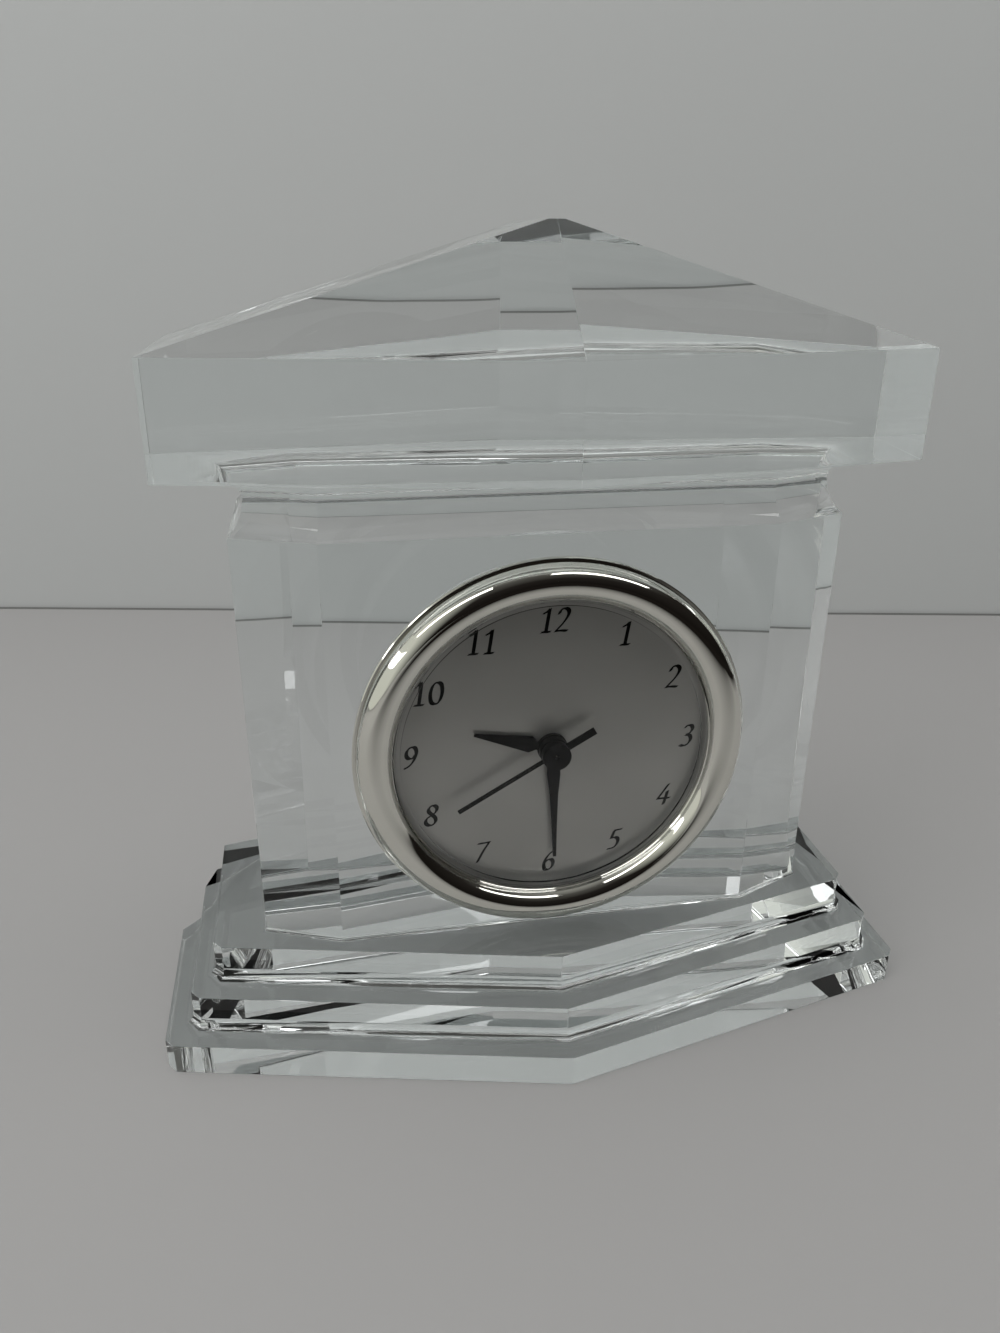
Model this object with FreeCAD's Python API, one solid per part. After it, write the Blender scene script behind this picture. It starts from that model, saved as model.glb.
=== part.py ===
import FreeCAD, Part
import math
import os

# Solid glass mantel clock with a round quartz insert pushed into the front of the block.
# The block stands on z = 0, x runs to the right and the front faces -y. Millimetres and degrees.
# Depths of the insert are counted from the flat front of the column into the glass, so a negative
# depth stands proud of that front.

# Glass block: three steps, a column with splayed corners, a hollow neck and a low four-way roof
base_width = 146.4
base_depth = 85.0
base_splay = 12.6            # the front and back of the steps turn back by this angle from the middle
step_1_height = 6.1
step_2_height = 7.0
step_3_height = 7.2
step_2_inset = 5.0
step_3_inset_side = 4.4
step_3_inset_front = 5.7
corner_flat = 1.6            # ground off each front corner of the steps
rear_cut = 81.5              # x + y of the flat that takes off the rear corners of the steps
column_width = 107.8
column_depth = 39.6
column_splay = 21.5
neck_height = 10.4
neck_bite = 2.8              # deepest hollow of the neck
neck_waist_height = 6.3      # of that deepest place above the start of the neck
roof_width = 128.2
roof_depth = 66.0
roof_splay = 11.4
fascia_height = 18.5
roof_rise = 19.5
ridge_length = 25.0          # runs from front to back
crest_drop = 0.4             # polished off the sharp ridge

# Cup, pocket, bezel and lens. The cup's radius is what the block's flat front is sized for.
cup_radius = 31.9
pocket_gap = 0.9             # filled by the gasket
pocket_depth = 16.0
bezel_cover = 3.4            # how far the bezel reaches past the pocket
bezel_side_margin = 3.5      # glass left flat beside, below and above the bezel
bezel_foot_margin = 1.1
bezel_head_margin = 3.8
bezel_flange = 0.9           # height of the thin outer rim
bezel_rim_width = 0.6
bezel_crest = 4.5            # height of the roll above the glass
bezel_roll_width = 6.2
bezel_valley = 2.3
bezel_lip = 2.1
lens_seat = 1.5              # front of the lens rim above the glass
lens_inset = 1.1             # from the cup's radius to the edge of the lens
lens_cover = 1.8             # held under the bezel's lip
lens_rim_thickness = 0.8
lens_gap = 0.3
lens_wall = 1.0
lens_crown = 5.4             # top of the dome above the glass
lens_skirt = 2.1             # foot of the dome above the glass
snap_gap = 0.05              # around pieces that are snapped into one another

# Dial and cup
dial_depth = 1.0
dial_thickness = 0.4
ring_width = 1.2             # bright ring between the lens and the dial
cup_rim_wall = 1.2
cup_wall = 2.4
cup_depth = 13.0
cup_floor = 1.2
gasket_groove = 0.25
gasket_wall = 0.6
gasket_width = 8.0
gasket_front = 2.0
gasket_ribs = 4
gasket_rib_width = 0.9

# Movement plates. Lengths across the movement are multiples of a unit, so that it fills the cup.
unit = cup_radius / 31.9
front_plate_thickness = 1.0
rear_plate_thickness = 1.0
rear_plate_radius = 27.0 * unit
plate_gap = 0.2              # from the front plate's edge to the cup
pillar_radius = 2.3 * unit
pillar_distance = 24.0 * unit
pillar_angles = (45.0, 165.0, 300.0)
screw_radius = 0.8 * unit
screw_length = 4.0
screw_head_radius = 1.5 * unit
screw_head_height = 0.8
screw_slot = 0.4
running_gap = 0.05           # radial gap of every shaft in its hole
end_gap = 0.3                # between wheels that lie behind one another

# Gears
wheel_thickness = 0.7
motion_distance = 7.2 * unit # centre to minute wheel, and minute wheel to setting shaft
train_distance = 8.64 * unit # centre to third wheel
seconds_distance = 8.8 * unit # centre to intermediate wheel
rotor_distance = 6.16 * unit # intermediate wheel to rotor
cannon_teeth = 12
minute_teeth = 36
minute_pinion_teeth = 10
hour_teeth = 40
setting_teeth = 12
seconds_pinion_teeth = 8
third_teeth = 60
third_pinion_teeth = 8
centre_teeth = 64
seconds_teeth = 40
intermediate_pinion_teeth = 8
intermediate_teeth = 48
rotor_pinion_teeth = 8
motion_angle = 210.0         # directions as the front is looked at, from the right and upwards
train_angle = 90.0
rotor_angle = -30.0
tooth_share = 0.36           # of the pitch, at the pitch circle
tip_share = 0.18             # of the pitch, at the tip
addendum_share = 0.62        # of the module
dedendum_share = 1.1         # of the module

# Arbors, tubes and hands
seconds_arbor_radius = 0.4 * unit
cannon_radius = 0.95 * unit
hour_tube_wall = 0.5 * unit
arbor_radius = 0.4 * unit
hour_hand_depth = 0.2
minute_hand_step = 0.8       # from the hour hand to the minute hand in front of it
second_hand_step = 1.7       # from the minute hand to the second hand
hand_thickness = 0.3
hour_hub_radius = 2.8 * unit
hour_hub_front = 0.2         # how far each hub stands before and behind its hand
hour_hub_back = 0.3
minute_hub_radius = 2.7 * unit
minute_hub_front = 1.1
minute_hub_back = 0.15
second_hub_radius = 2.6 * unit
second_hub_front = 1.2
second_hub_back = 0.1
hour_hand_length = 14.9 * unit
hour_hand_width = 3.2 * unit
hour_outline_shares = ((0.14, 0.5), (0.2, 0.5), (0.284, 1.0), (1.0, 0.16))   # of length and width
minute_hand_length = 22.6 * unit
minute_hand_width = 2.5 * unit
minute_outline_shares = ((0.09, 0.9), (0.22, 1.0), (0.42, 0.62), (0.65, 0.44), (1.0, 0.24))
second_hand_length = 20.4 * unit
second_hand_width = 0.75 * unit
second_tail_length = 8.3 * unit
second_tail_width = 1.4 * unit
hour_angle = 284.83          # clockwise from twelve
minute_angle = 178.0
second_angle = 240.0

# Motor
magnet_radius = 2.6 * unit
magnet_height = 1.8
stator_thickness = 0.7
stator_gap = 0.35
stator_ring = 1.6 * unit
coil_gap = 0.3               # from the stator's ring to the bobbin
coil_z = -5.0 * unit
coil_length = 13.0 * unit
coil_radius = 2.6
bobbin_flange = 0.8
bobbin_radius = 1.3
winding_gap = 0.2
core_width = 1.4
core_thickness = 0.7
core_end = 2.0 * unit

# Circuit, cell and hatch
board_x = -14.4 * unit
board_z = 8.0 * unit
board_width = 11.6 * unit
board_height = 12.0 * unit
board_thickness = 0.8
chip_radius = 2.2 * unit
chip_height = 1.0
chip_drop = 3.0 * unit       # below the middle of the board
can_radius = 1.0
can_length = 6.0 * unit
can_lift = 3.4 * unit        # above the middle of the board
cell_z = -17.0 * unit
cell_radius = 5.8 * unit
cell_height = 5.4
cell_depth = 5.9
cell_gap = 0.3
contact_thickness = 0.3
contact_width = 3.0 * unit
contact_reach = 18.6 * unit
hatch_radius = 6.6 * unit
hatch_lug_reach = 0.9
hatch_lug_width = 3.0 * unit
hatch_lug_thickness = 0.3
coin_slot_width = 1.4 * unit
coin_slot_depth = 0.6
knob_radius = 4.0 * unit
knob_height = 1.6
knob_grips = 24
knob_grip_depth = 0.35
overrun = 1.0                # how far a cutting tool runs past the face it cuts

# Radii of the insert's front
pocket_radius = cup_radius + pocket_gap
bezel_radius = pocket_radius + bezel_cover
lens_radius = cup_radius - lens_inset
bezel_opening = lens_radius - lens_cover

# Flat front and heights of the block
column_flat_width = 2 * (bezel_radius + bezel_side_margin)
column_height = bezel_foot_margin + 2 * bezel_radius + bezel_head_margin
step_1_top = step_1_height
step_2_top = step_1_top + step_2_height
step_3_top = step_2_top + step_3_height
axis_height = step_3_top + bezel_foot_margin + bezel_radius
neck_floor = step_3_top + column_height
fascia_floor = neck_floor + neck_height
fascia_top = fascia_floor + fascia_height
ridge_height = fascia_top + roof_rise
column_front = -column_depth / 2

# Depths of the insert
lens_back = lens_rim_thickness - lens_seat
plate_depth = dial_depth + dial_thickness
plate_back = plate_depth + front_plate_thickness
layers = [plate_back + end_gap + n * (wheel_thickness + end_gap) for n in range(6)]
hour_layer, motion_layer, centre_layer, third_layer, seconds_layer, rotor_layer = layers
rear_plate_depth = rotor_layer + wheel_thickness + end_gap
rear_plate_back = rear_plate_depth + rear_plate_thickness
floor_depth = cup_depth - cup_floor
coil_depth = plate_back + end_gap + coil_radius
stator_depth = coil_depth - core_thickness / 2 - stator_thickness
magnet_depth = stator_depth + stator_thickness / 2 - magnet_height / 2
board_depth = rear_plate_depth - board_thickness
minute_hand_depth = hour_hand_depth - minute_hand_step
second_hand_depth = minute_hand_depth - second_hand_step

# Modules and radii
motion_module = 2 * motion_distance / (cannon_teeth + minute_teeth)
hour_module = 2 * motion_distance / (minute_pinion_teeth + hour_teeth)
centre_module = 2 * train_distance / (third_pinion_teeth + centre_teeth)
third_module = 2 * train_distance / (seconds_pinion_teeth + third_teeth)
seconds_module = 2 * seconds_distance / (seconds_teeth + intermediate_pinion_teeth)
rotor_module = 2 * rotor_distance / (intermediate_teeth + rotor_pinion_teeth)
hour_tube_bore = cannon_radius + running_gap
hour_tube_radius = hour_tube_bore + hour_tube_wall
cup_bore = cup_radius - cup_rim_wall


def polar(distance, angle):
    """A place as x to the right and z up from the dial's middle."""
    return distance * math.cos(math.radians(angle)), distance * math.sin(math.radians(angle))


minute_place = polar(motion_distance, motion_angle)
setting_distance = motion_distance + motion_module * (minute_teeth + setting_teeth) / 2
setting_place = polar(setting_distance, motion_angle)
train_place = polar(train_distance, train_angle)
intermediate_place = polar(seconds_distance, rotor_angle)
rotor_place = polar(seconds_distance + rotor_distance, rotor_angle)
pillar_places = [polar(pillar_distance, angle) for angle in pillar_angles]
pivot_places = (train_place, intermediate_place, rotor_place, setting_place)
cell_place = (0.0, cell_z)
coil_x = rotor_place[0] + magnet_radius + stator_gap + stator_ring + coil_gap + coil_radius


def save(name, shape):
    """Writes one node."""
    shape.exportStep("parts/" + name + ".step")
    print(name, len(shape.Solids), round(shape.Volume, 2), shape.isValid())


def prism(points, bottom, top):
    """A vertical prism over a plan of (x, y) points."""
    wire = Part.makePolygon([FreeCAD.Vector(x, y, bottom) for x, y in points + points[:1]])
    return Part.Face(wire).extrude(FreeCAD.Vector(0, 0, top - bottom))


def mirrored(points):
    """A closed plan from its right half, which starts and ends on the middle line or beside it."""
    return points + [(-x, y) for x, y in reversed(points) if x > 0]


def step_plan(width, depth):
    """One step: both long sides come to a blunt point, and the front corners are ground flat."""
    half = width / 2
    reach = depth / 2
    slope = math.tan(math.radians(base_splay))
    side = reach - half * slope
    ground = [(half - corner_flat, -side - corner_flat * slope), (half, -side + corner_flat)]
    return mirrored([(0, -reach)] + ground + [(half, side), (0, reach)])


def column_plan():
    """Eight corners: flat front and back, splayed towards flat sides."""
    half = column_width / 2
    flat = column_flat_width / 2
    reach = column_depth / 2
    side = reach - (half - flat) * math.tan(math.radians(column_splay))
    return mirrored([(flat, -reach), (half, -side), (half, side), (flat, reach)])


def roof_plan():
    """Six corners: the front and the back come to a blunt point in the middle."""
    half = roof_width / 2
    reach = roof_depth / 2
    side = reach - half * math.tan(math.radians(roof_splay))
    return mirrored([(0, -reach), (half, -side), (half, side), (0, reach)])


def neck_tools():
    """One long cylinder beside each side of the column hollows out the neck."""
    radius = (neck_waist_height ** 2 + neck_bite ** 2) / (2 * neck_bite)
    plan = column_plan()
    tools = []
    for (ax, ay), (bx, by) in zip(plan, plan[1:] + plan[:1]):
        along = FreeCAD.Vector(bx - ax, by - ay, 0).normalize()
        outward = FreeCAD.Vector(along.y, -along.x, 0)
        middle = FreeCAD.Vector((ax + bx) / 2, (ay + by) / 2, neck_floor + neck_waist_height)
        start = middle + outward * (radius - neck_bite) - along * column_width / 2
        tools.append(Part.makeCylinder(radius, column_width, start, along))
    return tools


def above(a, b, c):
    """A large block on the plane through three points, on the side from which they run anticlockwise."""
    size = base_width * 2
    tool = Part.makeBox(size, size, size, FreeCAD.Vector(-size / 2, -size / 2, 0))
    normal = (b - a).cross(c - a)
    tool.Placement = FreeCAD.Placement(a, FreeCAD.Rotation(FreeCAD.Vector(0, 0, 1), normal))
    return tool


def roof():
    """The fascia and the four slopes, which meet in a short ridge."""
    half = roof_width / 2
    solid = prism(roof_plan(), fascia_floor, ridge_height - crest_drop)
    front, front_corner, rear_corner, rear = [FreeCAD.Vector(x, y, fascia_top) for x, y in roof_plan()[:4]]
    front_end, rear_end = [FreeCAD.Vector(0, s * ridge_length / 2, ridge_height) for s in (-1, 1)]
    right = [above(front, front_corner, front_end), above(front_corner, rear_corner, front_end),
             above(rear_corner, rear, rear_end)]
    for tool in right:
        solid = solid.cut(tool).cut(tool.mirror(FreeCAD.Vector(0, 0, 0), FreeCAD.Vector(1, 0, 0)))
    return solid


def crystal_body():
    """The glass block with its blind pocket."""
    width_2 = base_width - 2 * step_2_inset
    width_3 = width_2 - 2 * step_3_inset_side
    depth_2 = base_depth - 2 * step_2_inset
    depth_3 = depth_2 - 2 * step_3_inset_front
    body = prism(step_plan(base_width, base_depth), 0, step_1_top)
    body = body.fuse(prism(step_plan(width_2, depth_2), 0, step_2_top))
    body = body.fuse(prism(step_plan(width_3, depth_3), 0, step_3_top))
    for side in (-1, 1):
        corner = [(side * rear_cut, 0), (side * rear_cut, rear_cut), (0, rear_cut)]
        body = body.cut(prism(corner, -overrun, step_3_top + overrun))
    column = prism(column_plan(), step_3_top - overrun, fascia_floor + overrun)
    for tool in neck_tools():
        column = column.cut(tool)
    body = body.fuse(column).fuse(roof())
    return body.cut(disc(pocket_radius, -overrun, pocket_depth)).removeSplitter()


def point(depth, x=0.0, z=0.0):
    """A point of the insert, by its depth and its offset from the dial's middle."""
    return FreeCAD.Vector(x, column_front + depth, axis_height + z)


def disc(radius, near, far, at=(0.0, 0.0)):
    """A round slab between two depths."""
    return Part.makeCylinder(radius, far - near, point(near, *at), FreeCAD.Vector(0, 1, 0))


def tube(outer, inner, near, far, at=(0.0, 0.0)):
    """A round slab with a hole right through it."""
    return disc(outer, near, far, at).cut(disc(inner, near - overrun, far + overrun, at))


def block(left, right, near, far, bottom, top):
    """A box between offsets from the dial's middle and depths."""
    return Part.makeBox(right - left, far - near, top - bottom, point(near, left, bottom))


def slab(outline, near, far):
    """A plate between two depths over an outline of (x, z) offsets."""
    wire = Part.makePolygon([point(near, x, z) for x, z in outline + outline[:1]])
    return Part.Face(wire).extrude(FreeCAD.Vector(0, far - near, 0))


def line(a, b):
    """A straight edge between two places given as radius and depth."""
    return Part.makeLine(point(a[1], a[0]), point(b[1], b[0]))


def arc(a, b, c):
    """An arc through three places given as radius and depth."""
    return Part.Arc(point(a[1], a[0]), point(b[1], b[0]), point(c[1], c[0])).toShape()


def turned(edges):
    """A ring or dome turned about the dial's axis from a closed outline of edges."""
    return Part.Face(Part.Wire(edges)).revolve(point(0), FreeCAD.Vector(0, 1, 0), 360)


def clockwise(shape, angle):
    """Turns a piece about the dial's axis, clockwise as the front is looked at."""
    return shape.copy().rotate(point(0), FreeCAD.Vector(0, 1, 0), angle)


def gear(teeth, module, phase, near, at=(0.0, 0.0), bore=0.0, thickness=wheel_thickness):
    """A spur wheel whose first tooth points along phase, in degrees from the right and upwards."""
    pitch = 360.0 / teeth
    radius = module * teeth / 2
    root = radius - dedendum_share * module
    tip = radius + addendum_share * module
    foot = tooth_share + (tooth_share - tip_share) * dedendum_share / addendum_share
    outline = []
    for n in range(teeth):
        for reach, share in ((root, -foot), (tip, -tip_share), (tip, tip_share), (root, foot)):
            x, z = polar(reach, phase + pitch * (n + share / 2))
            outline.append((at[0] + x, at[1] + z))
    wheel = slab(outline, near, near + thickness)
    return wheel.cut(disc(bore, near - overrun, near + thickness + overrun, at)) if bore else wheel


def meshed_phase(teeth, phase, other_teeth, direction):
    """The phase of the other wheel, which lies in a direction from the first and meshes with it."""
    return direction + 180 - teeth / other_teeth * (phase - direction) - 180 / other_teeth


def bezel():
    """The polished ring: thin flange, and a half-round roll down to the lens."""
    roll = bezel_radius - bezel_rim_width
    valley = roll - bezel_roll_width
    seat = lens_radius + snap_gap
    rebate = cup_radius + snap_gap
    crest = (roll + valley) / 2 + bezel_rim_width / 2
    outline = [(bezel_radius, 0), (bezel_radius, -bezel_flange), (roll, -bezel_flange)]
    inner = [(valley, -bezel_valley), (bezel_opening, -bezel_lip), (bezel_opening, -lens_seat),
             (seat, -lens_seat), (seat, lens_back), (rebate, lens_back), (rebate, 0), outline[0]]
    edges = [line(a, b) for a, b in zip(outline, outline[1:])]
    edges.append(arc(outline[-1], (crest, -bezel_crest), inner[0]))
    return turned(edges + [line(a, b) for a, b in zip(inner, inner[1:])])


def dome(radius, rise, top):
    """An arc from the axis out to a radius, falling by a rise from its top, square to the axis there."""
    ball = (radius ** 2 + rise ** 2) / (2 * rise)
    half = radius / 2
    return arc((0, -top), (half, ball - math.sqrt(ball ** 2 - half ** 2) - top), (radius, rise - top))


def lens():
    """The domed window with the thin rim that the bezel holds."""
    outer = bezel_opening - lens_gap
    inner = outer - lens_wall
    rise = lens_crown - lens_skirt
    outline = [(outer, -lens_skirt), (outer, -lens_seat), (lens_radius, -lens_seat),
               (lens_radius, lens_back), (inner, lens_back), (inner, lens_wall - lens_skirt)]
    sides = [line(a, b) for a, b in zip(outline, outline[1:])]
    top = lens_crown - lens_wall
    edges = [dome(outer, rise, lens_crown), dome(inner, rise, top), line((0, -top), (0, -lens_crown))] + sides
    return turned(Part.__sortEdges__(edges))


def dial_ring():
    """The bright ring that holds the dial against the plate."""
    outer = cup_bore - snap_gap
    return tube(outer, outer - ring_width, lens_back, dial_depth)


def dial():
    """The round dial plate with a hole for the hands."""
    return tube(cup_bore - snap_gap, hour_tube_radius + plate_gap, dial_depth, plate_depth)


def case_cup():
    """The cup behind the bezel, with its ledge, back wall and openings."""
    cup = disc(cup_radius, lens_back, cup_depth)
    cup = cup.cut(disc(cup_bore, lens_back - overrun, plate_back))
    cup = cup.cut(disc(cup_radius - cup_wall, plate_back - overrun, floor_depth))
    groove = gasket_front + gasket_width
    cup = cup.cut(tube(cup_radius + overrun, cup_radius - gasket_groove, gasket_front, groove))
    hatch_hole = hatch_radius + running_gap
    lug_reach = hatch_hole + hatch_lug_reach
    half = hatch_lug_width / 2 + running_gap
    near = floor_depth - overrun
    far = cup_depth + overrun
    notch = block(-half, half, near, far, cell_z - lug_reach, cell_z + lug_reach)
    cup = cup.cut(disc(hatch_hole, near, far, cell_place))
    cup = cup.cut(notch.common(disc(lug_reach, near, far, cell_place)))
    return cup.cut(disc(arbor_radius + running_gap, near, far, setting_place))


def gasket():
    """The soft ribbed band that grips the pocket."""
    inner = cup_radius - gasket_groove
    band = tube(inner + gasket_wall, inner, gasket_front, gasket_front + gasket_width)
    step = (gasket_width - gasket_rib_width) / (gasket_ribs - 1)
    for n in range(gasket_ribs):
        near = gasket_front + n * step
        band = band.fuse(tube(pocket_radius - running_gap, inner, near, near + gasket_rib_width))
    return band.removeSplitter()


def front_plate():
    """The plate behind the dial, with the rear plate's pillars and the minute wheel's stud."""
    plate = disc(cup_bore - plate_gap, plate_depth, plate_back)
    plate = plate.cut(disc(hour_tube_radius + running_gap, plate_depth - overrun, plate_back + overrun))
    for place in pillar_places:
        plate = plate.fuse(disc(pillar_radius, plate_back, rear_plate_depth, place))
    for place in pillar_places:
        near = rear_plate_back - screw_length
        plate = plate.cut(disc(screw_radius, near, rear_plate_depth + overrun, place))
    pivot = arbor_radius + running_gap
    for place in pivot_places:
        plate = plate.cut(disc(pivot, plate_depth - overrun, plate_back + overrun, place))
    return plate.fuse(disc(arbor_radius, plate_depth, centre_layer - end_gap, minute_place))


def rear_plate():
    """The plate that carries the rear pivots, holed for the cell and the screws."""
    plate = disc(rear_plate_radius, rear_plate_depth, rear_plate_back)
    holes = [(screw_radius + running_gap, place) for place in pillar_places]
    holes.append((cell_radius + cell_gap, cell_place))
    holes.append((seconds_arbor_radius + running_gap, (0.0, 0.0)))
    holes += [(arbor_radius + running_gap, place) for place in pivot_places]
    for radius, place in holes:
        plate = plate.cut(disc(radius, rear_plate_depth - overrun, rear_plate_back + overrun, place))
    return plate


def plate_screws():
    """The slotted screws that hold the rear plate to the pillars."""
    screws = []
    head = rear_plate_back + screw_head_height
    for x, z in pillar_places:
        screw = disc(screw_radius, rear_plate_back - screw_length, rear_plate_back, (x, z))
        screw = screw.fuse(disc(screw_head_radius, rear_plate_back, head, (x, z)))
        slot = block(x - screw_head_radius, x + screw_head_radius, head - screw_head_height / 2,
                     head + overrun, z - screw_slot / 2, z + screw_slot / 2)
        screws.append(screw.cut(slot))
    return Part.makeCompound(screws)


def hour_wheel():
    """The hour wheel with its tube through the dial."""
    phase = meshed_phase(minute_pinion_teeth, minute_pinion_phase, hour_teeth, motion_angle + 180)
    wheel = gear(hour_teeth, hour_module, phase, hour_layer)
    wheel = wheel.fuse(disc(hour_tube_radius, hour_hand_depth, hour_layer))
    return wheel.cut(disc(hour_tube_bore, hour_hand_depth - overrun, motion_layer))


def minute_wheel():
    """The wheel between the minute and hour hands, with its pinion, bored for the front plate's stud."""
    bore = arbor_radius + running_gap
    wheel = gear(minute_teeth, motion_module, minute_phase, motion_layer, minute_place, bore)
    pinion = gear(minute_pinion_teeth, hour_module, minute_pinion_phase, hour_layer, minute_place, bore,
                  motion_layer - hour_layer)
    return wheel.fuse(pinion)


def cannon_pinion():
    """The tube that carries the minute hand, with its pinion."""
    shape = gear(cannon_teeth, motion_module, cannon_phase, motion_layer)
    shape = shape.fuse(disc(cannon_radius, minute_hand_depth, centre_layer + wheel_thickness))
    bore = seconds_arbor_radius + running_gap
    return shape.cut(disc(bore, minute_hand_depth - overrun, third_layer))


def centre_wheel():
    """The wheel that slips on the cannon pinion's tube when the hands are set."""
    return gear(centre_teeth, centre_module, centre_phase, centre_layer, bore=cannon_radius + running_gap)


def arbor(far, place):
    """A pivot that runs from behind the dial's plate to a depth."""
    return disc(arbor_radius, plate_depth + end_gap, far, place)


def third_wheel():
    """The third wheel with its pinion and pivots."""
    wheel = gear(third_teeth, third_module, third_phase, third_layer, train_place)
    phase = meshed_phase(centre_teeth, centre_phase, third_pinion_teeth, train_angle)
    pinion = gear(third_pinion_teeth, centre_module, phase, centre_layer, train_place,
                  thickness=third_layer - centre_layer)
    return wheel.fuse(pinion).fuse(arbor(rear_plate_back, train_place))


def seconds_wheel():
    """The wheel of the second hand, with its pinion and long shaft."""
    pinion_phase = meshed_phase(third_teeth, third_phase, seconds_pinion_teeth, train_angle + 180)
    wheel = gear(seconds_teeth, seconds_module, seconds_phase, seconds_layer)
    pinion = gear(seconds_pinion_teeth, third_module, pinion_phase, third_layer,
                  thickness=seconds_layer - third_layer)
    return wheel.fuse(pinion).fuse(disc(seconds_arbor_radius, second_hand_depth, rear_plate_back))


def intermediate_wheel():
    """The wheel between the second hand and the rotor."""
    phase = meshed_phase(seconds_teeth, seconds_phase, intermediate_pinion_teeth, rotor_angle)
    wheel = gear(intermediate_teeth, rotor_module, intermediate_phase, rotor_layer, intermediate_place)
    pinion = gear(intermediate_pinion_teeth, seconds_module, phase, seconds_layer, intermediate_place,
                  thickness=rotor_layer - seconds_layer)
    return wheel.fuse(pinion).fuse(arbor(rear_plate_back, intermediate_place))


def rotor_pinion():
    """The rotor's shaft and pinion."""
    phase = meshed_phase(intermediate_teeth, intermediate_phase, rotor_pinion_teeth, rotor_angle)
    pinion = gear(rotor_pinion_teeth, rotor_module, phase, rotor_layer, rotor_place)
    return pinion.fuse(arbor(rear_plate_back, rotor_place))


def rotor_magnet():
    """The round magnet on the rotor's shaft."""
    return tube(magnet_radius, arbor_radius, magnet_depth, magnet_depth + magnet_height, rotor_place)


def setting_shaft():
    """The shaft of the setting knob, with the pinion that turns the minute wheel."""
    phase = meshed_phase(minute_teeth, minute_phase, setting_teeth, motion_angle)
    pinion = gear(setting_teeth, motion_module, phase, motion_layer, setting_place)
    return pinion.fuse(arbor(cup_depth + end_gap + knob_height, setting_place))


def setting_knob():
    """The grooved knob on the back."""
    outline = []
    for n in range(knob_grips):
        for reach, share in ((knob_radius, 0), (knob_radius, 1 / 2), (knob_radius - knob_grip_depth, 3 / 4)):
            x, z = polar(reach, (n + share) * 360 / knob_grips)
            outline.append((setting_place[0] + x, setting_place[1] + z))
    near = cup_depth + end_gap
    knob = slab(outline, near, near + knob_height)
    return knob.cut(disc(arbor_radius, near - overrun, near + knob_height + overrun, setting_place))


def hand(outline, depth, hub, front, back, bore, angle):
    """A flat hand from its outline towards twelve, with a round hub about its bore, turned to its place."""
    near = depth - front
    far = depth + hand_thickness + back
    shape = slab(outline, depth, depth + hand_thickness).fuse(disc(hub, near, far))
    shape = shape.cut(disc(bore, near - overrun, far + overrun))
    return clockwise(shape.removeSplitter(), angle)


def spear(length, width, shares):
    """A pointed hand: its half widths along its length, mirrored."""
    right = [(width / 2 * across, length * along) for along, across in reversed(shares)]
    return right + [(-x, z) for x, z in reversed(right)]


def second_outline():
    """A thin straight hand with a broader tail."""
    right = [(second_hand_width / 2, second_hand_length), (second_hand_width / 2, 0),
             (second_tail_width / 2, -second_hub_radius), (second_tail_width / 2, -second_tail_length)]
    return right + [(-x, z) for x, z in reversed(right)]


def stator():
    """The iron plate that rings the rotor and reaches both ends of the coil's core."""
    x, z = rotor_place
    ring = stator_gap + magnet_radius
    far = stator_depth + stator_thickness
    end = coil_length / 2 + core_end
    right = coil_x + core_width / 2
    half = stator_ring / 2
    shape = disc(ring + stator_ring, stator_depth, far, rotor_place)
    shape = shape.fuse(block(x - half, x + half, stator_depth, far, coil_z - end, coil_z + end))
    for bottom in (coil_z - end, coil_z + end - core_end):
        shape = shape.fuse(block(x - half, right, stator_depth, far, bottom, bottom + core_end))
    return shape.cut(disc(ring, stator_depth - overrun, far + overrun, rotor_place)).removeSplitter()


def coil_core():
    """The iron strip through the coil."""
    end = coil_length / 2 + core_end
    near = stator_depth + stator_thickness
    return block(coil_x - core_width / 2, coil_x + core_width / 2, near, near + core_thickness,
                 coil_z - end, coil_z + end)


def upright(radius, bottom, top):
    """A cylinder along the coil's axis."""
    return Part.makeCylinder(radius, top - bottom, point(coil_depth, coil_x, bottom), FreeCAD.Vector(0, 0, 1))


def coil_bobbin():
    """The bobbin with its two flanges."""
    bottom = coil_z - coil_length / 2
    top = bottom + coil_length
    shape = upright(bobbin_radius, bottom, top)
    shape = shape.fuse(upright(coil_radius, bottom, bottom + bobbin_flange))
    shape = shape.fuse(upright(coil_radius, top - bobbin_flange, top))
    return shape.cut(coil_core())


def coil_winding():
    """The copper winding as one plain sleeve."""
    bottom = coil_z - coil_length / 2 + bobbin_flange
    top = coil_z + coil_length / 2 - bobbin_flange
    sleeve = upright(coil_radius - winding_gap, bottom, top)
    return sleeve.cut(upright(bobbin_radius, bottom - overrun, top + overrun))


def circuit_board():
    """The board that lies against the rear plate."""
    return block(board_x - board_width / 2, board_x + board_width / 2, board_depth, rear_plate_depth,
                 board_z - board_height / 2, board_z + board_height / 2)


def timing_chip():
    """The round blob that covers the chip."""
    return disc(chip_radius, board_depth - chip_height, board_depth, (board_x, board_z - chip_drop))


def quartz_can():
    """The small metal can of the quartz crystal."""
    start = point(board_depth - can_radius, board_x - can_length / 2, board_z + can_lift)
    return Part.makeCylinder(can_radius, can_length, start, FreeCAD.Vector(1, 0, 0))


def cell():
    """The button cell, with the smaller cap at its front."""
    step = cell_height / 4
    body = disc(cell_radius, cell_depth + step, cell_depth + cell_height, cell_place)
    return body.fuse(disc(cell_radius - step, cell_depth, cell_depth + step, cell_place))


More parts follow.
